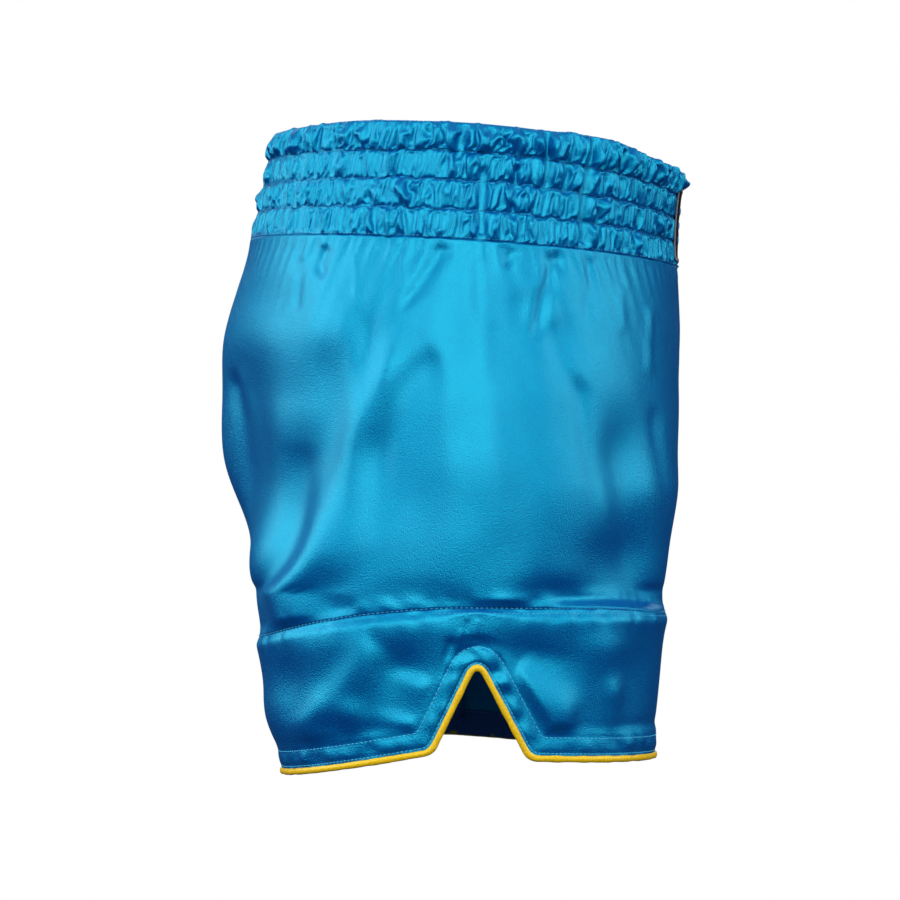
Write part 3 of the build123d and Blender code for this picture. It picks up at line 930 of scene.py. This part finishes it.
def ring_stitches(name, up, pieces, pitch, length, look):
    """A row of stitches round the waistband, at a height up on the flat band."""
    along = np.arange(0, RING_LENGTH, pitch / 2)
    path = on_ring(along, 0 * along, up + 0 * along)
    facing = unit(on_ring(along, 0 * along + 1, up + 0 * along) - path)
    facing[:, 2] = 0
    return stitches(name, [settle(path, facing, pieces, 0.0)], pitch, length, 0.24, look)


# ---- Overlocked seams ----
ALLOWANCE, EDGE_THICK = 5.4, 1.0  # how wide an overlocked allowance is, and how thick
EDGE_OUTLINE = [(-0.5, -0.5), (0.2, -0.6), (0.5, -0.3), (0.54, 0.0), (0.5, 0.3), (0.2, 0.6), (-0.5, 0.5)]
THREAD_SIDES, THREAD_RADIUS = 5, 0.22


def overlock(name, line, across, side=-1):
    """A seam allowance standing inside: a narrow strip of cloth with thread looped over its edge.

    across is the allowance's direction at each point of the line. Returns the strip and the thread.
    """
    path = resample(line, 1.1)
    across = across[[np.argmin(np.linalg.norm(line - point, axis=1)) for point in path]]
    thin = unit(np.cross(unit(np.gradient(path, axis=0)), across))
    step = np.arange(len(path))
    wobble = 0.35 * lumps(61, step * 1.1, 0 * step, 12, 9)[:, None]
    rings = [path + across * (u * ALLOWANCE + wobble * (u > 0)) + thin * v * EDGE_THICK * 0.7
             for u, v in EDGE_OUTLINE]
    strip = sided(np.stack(rings, axis=1), side)
    size, last = len(EDGE_OUTLINE), len(path) * len(EDGE_OUTLINE) - 1
    faces = grid_faces(len(path), size, closed=True, flip=side < 0)
    faces += [tuple(range(size)), tuple(range(last, last - size, -1))]
    cloth = make_mesh(name + "_edge", strip, faces, satin_back)
    tubes, tube_faces, count = [], [], 0
    for face in (1, -1):
        low = path[:-2:2] - across[:-2:2] * 0.2 * ALLOWANCE + face * thin[:-2:2] * EDGE_THICK * 0.5
        high = (path + across * 0.52 * ALLOWANCE + face * thin * EDGE_THICK * 0.3)[2::2][:len(low)]
        zigzag = sided(np.stack([low, high], axis=1).reshape(-1, 3), side)
        ahead = unit(np.gradient(zigzag, axis=0))
        one = unit(np.cross(ahead, np.tile([0.3, 1.0, 0.2], (len(zigzag), 1))))
        two = unit(np.cross(ahead, one))
        tube = tube_points(zigzag, one * THREAD_RADIUS, two * THREAD_RADIUS, THREAD_SIDES)
        tubes.append(tube.reshape(-1, 3))
        tube_faces += grid_faces(len(zigzag), THREAD_SIDES, closed=True, start=count)
        count += len(zigzag) * THREAD_SIDES
    return cloth, make_mesh(name + "_thread", np.concatenate(tubes), tube_faces, overlock_thread)


def centre_seam():
    """The centre seam's allowance, from the front of the waist under the crotch to the back."""
    z = np.linspace(-82, -262, 400)
    meeting = edge_angle(z) < math.pi - 0.02
    z, edge = z[meeting], edge_angle(z)[meeting]
    front = np.stack([0 * z, outline(z, -edge)[1], z], axis=1)
    back = np.stack([0 * z, outline(z, edge)[1], z], axis=1)
    path = resample(np.concatenate([front, back[::-1]]), 2.0)
    direction = unit(np.gradient(path, axis=0))
    inward = np.stack([0 * direction[:, 0], -direction[:, 2], direction[:, 1]], axis=1)
    return overlock("centre_seam", path + 4.8 * inward, inward)


def inseam(name, side):
    """An inseam's allowance, just inside the leg's inner side."""
    angle = np.linspace(math.pi / 2, math.pi, 400)
    line = []
    for z in np.linspace(-275, -350, 40):
        x, y = outline(np.full_like(angle, z), angle)
        line.append((x[np.argmin(np.abs(y - 10))] - 5.0, 10, z))
    return overlock(name, np.array(line), np.tile([-1.0, 0, 0], (len(line), 1)), side)


# ---- Labels ----
LABEL = (-37.5, 37.5, -76, -32)  # X and Z ranges
GROUND_INSET = 1.2
MOTIF_HALF, BAR_HALF, CROWN = 17, 2.0, 0.45  # half a bar's length and width, and its height


def on_label(x, z, out):
    """Points of the waistband's front at X and Z, moved outwards by out."""
    return on_surface(z, -np.arccos(-x / half_width_at(z)), out)


def rounded_rectangle(inset, radius):
    """A closed path round the label in the XZ plane, with rounded corners."""
    x0, x1, z0, z1 = LABEL[0] + inset, LABEL[1] - inset, LABEL[2] + inset, LABEL[3] - inset
    points = []
    for cx, cz, start in ((x1 - radius, z1 - radius, 0), (x0 + radius, z1 - radius, 90),
                          (x0 + radius, z0 + radius, 180), (x1 - radius, z0 + radius, 270)):
        for turn in np.radians(np.linspace(start, start + 90, 9)):
            points.append((cx + radius * math.cos(turn), 0, cz + radius * math.sin(turn)))
    return resample(np.array(points, float), 0.4, closed=True)


def label_ground():
    """The label's black cloth, a little uneven."""
    x, z = np.meshgrid(np.linspace(LABEL[0] + GROUND_INSET, LABEL[1] - GROUND_INSET, 90),
                       np.linspace(LABEL[3] - GROUND_INSET, LABEL[2] + GROUND_INSET, 56))
    out = 1.35 + 0.18 * lumps(71, x, z, 18, 14) + 0.06 * lumps(72, x, z, 5, 5)
    patch = make_mesh("label_ground", on_label(x, z, out), grid_faces(*x.shape, flip=True), label_black)
    return thickened(patch, 0.7)


def label_border():
    """The label's overlocked edge: thread wound closely round it."""
    path = rounded_rectangle(1.3, 2.2)
    x, z = path[:, 0], path[:, 2]
    rib = 1 + 0.13 * np.sin(np.arange(len(path)) * 2 * math.pi / 2.5) + 0.05 * lumps(73, x, z, 3, 3)
    centre = on_label(x, z, 1.15)
    out = unit(on_label(x, z, 2.15) - centre)
    ahead = unit(np.roll(centre, -1, axis=0) - np.roll(centre, 1, axis=0))
    aside = unit(np.cross(ahead, out))
    rings = tube_points(centre, aside * 1.25 * rib[:, None], out * 0.5 * rib[:, None], 10)
    return ring_mesh("label_border", rings, label_pale)


def label_motif():
    """Three embroidered bars, as close rows of thread."""
    across = np.linspace(BAR_HALF, -BAR_HALF, 9)
    x, across = np.meshgrid(np.arange(-MOTIF_HALF, MOTIF_HALF + 0.01, 0.2), across)
    ends = np.clip((MOTIF_HALF - np.abs(x)) / 1.2, 0, 1) ** 0.5
    crown = CROWN * np.sqrt(np.clip(1 - (across / (BAR_HALF + 0.05)) ** 2, 0, 1)) * ends
    ribs = 0.09 * np.sin(x * 2 * math.pi / 0.8) * crown / CROWN
    points, faces = [], []
    for bar, middle in enumerate((-62.5, -54, -45.5)):
        points.append(on_label(x, middle + across, 1.42 + crown + ribs))
        faces += grid_faces(*x.shape, start=bar * x.size)
    return make_mesh("label_motif", points, faces, label_blue)


def care_label():
    """A blank tape sewn into the seam at the back, curling a little at its free end."""
    u, v = np.meshgrid(np.linspace(7.2, 32.8, 27), np.linspace(0, 1, 40))
    y = 133 - 5.0 * v**2 * smooth(v) + 0.6 * np.sin((u - 7) / 9) * v
    tape = grid_mesh("care_label_tape", np.stack([u, y, -66.5 - 37 * v], axis=-1), white_tape)
    return thickened(tape, 0.35)


# ---- Building it ----
def keep(piece, cad_node):
    """Fixes a piece to the body and hides the CAD node it stands in for."""
    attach(piece, "root")
    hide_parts(cad_node)
    return piece


band = keep(waistband(), "waistband_outer_casing")
lining = keep(lining_band(), "waistband_inner_casing")
for side, leg, seed in ((-1, "right", 100), (1, "left", 200)):
    panel = keep(leg_panel(leg + "_panel_satin", side, seed), leg + "_body_panel")
    hem = keep(hem_band(leg + "_hem_satin", side, seed + 50), leg + "_hem_band")
    facing = keep(hem_facing(leg + "_facing_satin", side), leg + "_hem_facing")
    keep(piping(leg + "_piping", side), leg + "_hem_piping")
    seam = band_seam_stitches(leg + "_band_seam_thread", side, [panel, hem])
    keep(seam, leg + "_band_seam_stitch")
    upper = hem_stitches(leg + "_facing_thread", side, [hem], FACING_STITCH, 2.9, 2.1, 0.27)
    keep(upper, leg + "_facing_stitch")
    lower = hem_stitches(leg + "_edge_thread", side, [hem], EDGE_STITCH, 2.6, 2.0, 0.24)
    keep(lower, leg + "_hem_edge_stitch")
    for piece in inseam(leg + "_inseam", side):
        keep(piece, leg + "_inseam_overlock")
for piece in centre_seam():
    keep(piece, "centre_seam_overlock")
for row in range(1, ROWS):
    up = -BAND_HEIGHT * row / ROWS
    channel = ring_stitches(f"channel_thread_{row}", up, [band], 2.4, 1.8, thread_dark)
    keep(channel, f"channel_stitch_{row}")
# Thread darkened with painted shade, as the waist seam lies under the last puff of the band.
waist = ring_stitches("waist_seam_thread", -BAND_HEIGHT + 0.9, [band], 2.6, 1.9, thread_with_painted_shade)
keep(waist, "waist_seam_stitch")
ground = keep(label_ground(), "front_label_patch")
keep(label_border(), "front_label_border")
keep(label_motif(), "front_label_motif")
care_tape = keep(care_label(), "care_label")

ELASTIC = [f"elastic_row_{n}" for n in range(1, ROWS + 1)]

looks = {name: elastic_tape for name in ELASTIC}
looks.update(drawcord_eyelet_right=metal, drawcord_eyelet_left=metal)
for name, look in looks.items():
    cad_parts[name].data.materials.clear()
    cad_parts[name].data.materials.append(look)


# ---- Stage, lights and camera ----
LIGHTS = [  # (name, place, aimed at, size, power)
    ("key", (-2.3, 0.12, 1.1), (0, 0, -0.15), (3.6, 2.0), 92),
    ("left", (0.1, 2.7, 1.0), (0, 0, -0.15), (3.4, 1.9), 76),
    ("right", (-0.3, -2.7, 1.1), (0, 0, -0.15), (2.6, 1.7), 50),
    ("back", (2.5, 0.0, 1.2), (0, 0, -0.15), (2.4, 1.6), 30),
    ("top", (0.1, 0, 2.2), (0, 0, 0), (1.8, 1.8), 8),
]
FLOOR_HALF, FLOOR_Z, SURROUND_RADIUS = 2400, -900, 9.0
CAMERA_AWAY, SEEN_WIDTH, SENSOR = 2600, 540, 36  # SEEN_WIDTH is the picture's width at the shorts


def area_light(name, place, aim, size, power):
    data = bpy.data.lights.new(name, "AREA")
    data.shape, data.size, data.size_y = "RECTANGLE", size[0], size[1]
    data.energy = power
    light = bpy.data.objects.new(name, data)
    light.location = place
    light.rotation_euler = (Vector(aim) - Vector(place)).to_track_quat("-Z", "Y").to_euler()
    bpy.context.scene.collection.objects.link(light)


def stage():
    """A plain pale floor below the hanging shorts, and a white surround that only the camera sees."""
    floor_look = material("floor", (0.82, 0.82, 0.82), 0.8)
    corners = [(x * FLOOR_HALF, y * FLOOR_HALF, FLOOR_Z) for x, y in ((-1, -1), (1, -1), (1, 1), (-1, 1))]
    floor = make_mesh("floor", corners, [(0, 1, 2, 3)], floor_look)
    surround_look = bpy.data.materials.new("surround")
    surround_look.use_nodes = True
    tree = surround_look.node_tree
    tree.nodes.clear()
    glow = tree.nodes.new("ShaderNodeEmission")
    end = tree.nodes.new("ShaderNodeOutputMaterial")
    tree.links.new(glow.outputs[0], end.inputs[0])
    mesh = bpy.data.meshes.new("surround")
    shape = bmesh.new()
    bmesh.ops.create_uvsphere(shape, u_segments=48, v_segments=24, radius=SURROUND_RADIUS)
    shape.to_mesh(mesh)
    shape.free()
    mesh.materials.append(surround_look)
    surround = bpy.data.objects.new("surround", mesh)
    bpy.context.scene.collection.objects.link(surround)
    for attribute in ("visible_diffuse", "visible_glossy", "visible_transmission", "visible_shadow"):
        setattr(surround, attribute, False)
    floor.visible_glossy = floor.visible_diffuse = False


stage()
for light in LIGHTS:
    area_light(*light)
world = bpy.data.worlds.new("world")
bpy.context.scene.world = world
world.use_nodes = True
background = world.node_tree.nodes["Background"]
background.inputs["Color"].default_value = (0.5, 0.7, 1.0, 1)
background.inputs["Strength"].default_value = 0.07
bpy.context.scene.view_settings.view_transform = "Standard"

camera = bpy.data.objects.new("camera", bpy.data.cameras.new("camera"))
bpy.context.scene.collection.objects.link(camera)
camera.location = (-CAMERA_AWAY * MM, 0.018, -0.1878)
camera.rotation_euler = (math.pi / 2, 0, -math.pi / 2)
camera.data.sensor_width, camera.data.lens = SENSOR, SENSOR * CAMERA_AWAY / SEEN_WIDTH
camera.data.clip_end = 50
bpy.context.scene.camera = camera
